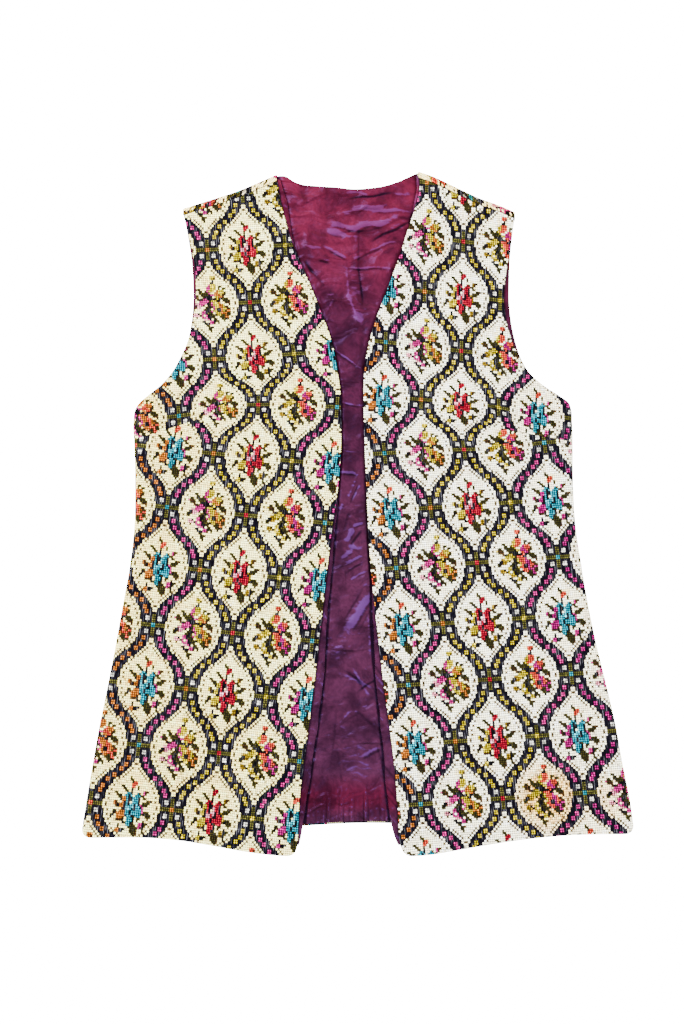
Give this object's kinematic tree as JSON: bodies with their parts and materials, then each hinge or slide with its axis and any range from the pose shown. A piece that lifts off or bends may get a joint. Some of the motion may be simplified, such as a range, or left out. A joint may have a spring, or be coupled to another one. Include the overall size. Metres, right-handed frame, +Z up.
{
  "type": "embroidered waistcoat",
  "caption": "Long sleeveless open-fronted waistcoat in patterned tapestry cloth with a satin lining, laid flat on its back.",
  "frame": {"origin": "middle of the laid garment's bounding box, on the surface that it lies on", "axes": "+X towards the wearer's left, +Y towards the collar, +Z up from the surface"},
  "size_m": [0.5455, 0.6994, 0.009],
  "materials": {
    "tapestry": "matt woven tapestry of thick cotton and wool stitches, cream ground with dark trellis bands and flowers",
    "lining": "burgundy satin with a lavender sheen, creased and puckered"
  },
  "bodies": {
    "root": {"back": "tapestry", "front_right": "tapestry", "front_left": "tapestry", "lining_back": "lining", "lining_front_right": "lining", "lining_front_left": "lining"}
  },
  "joints": []
}
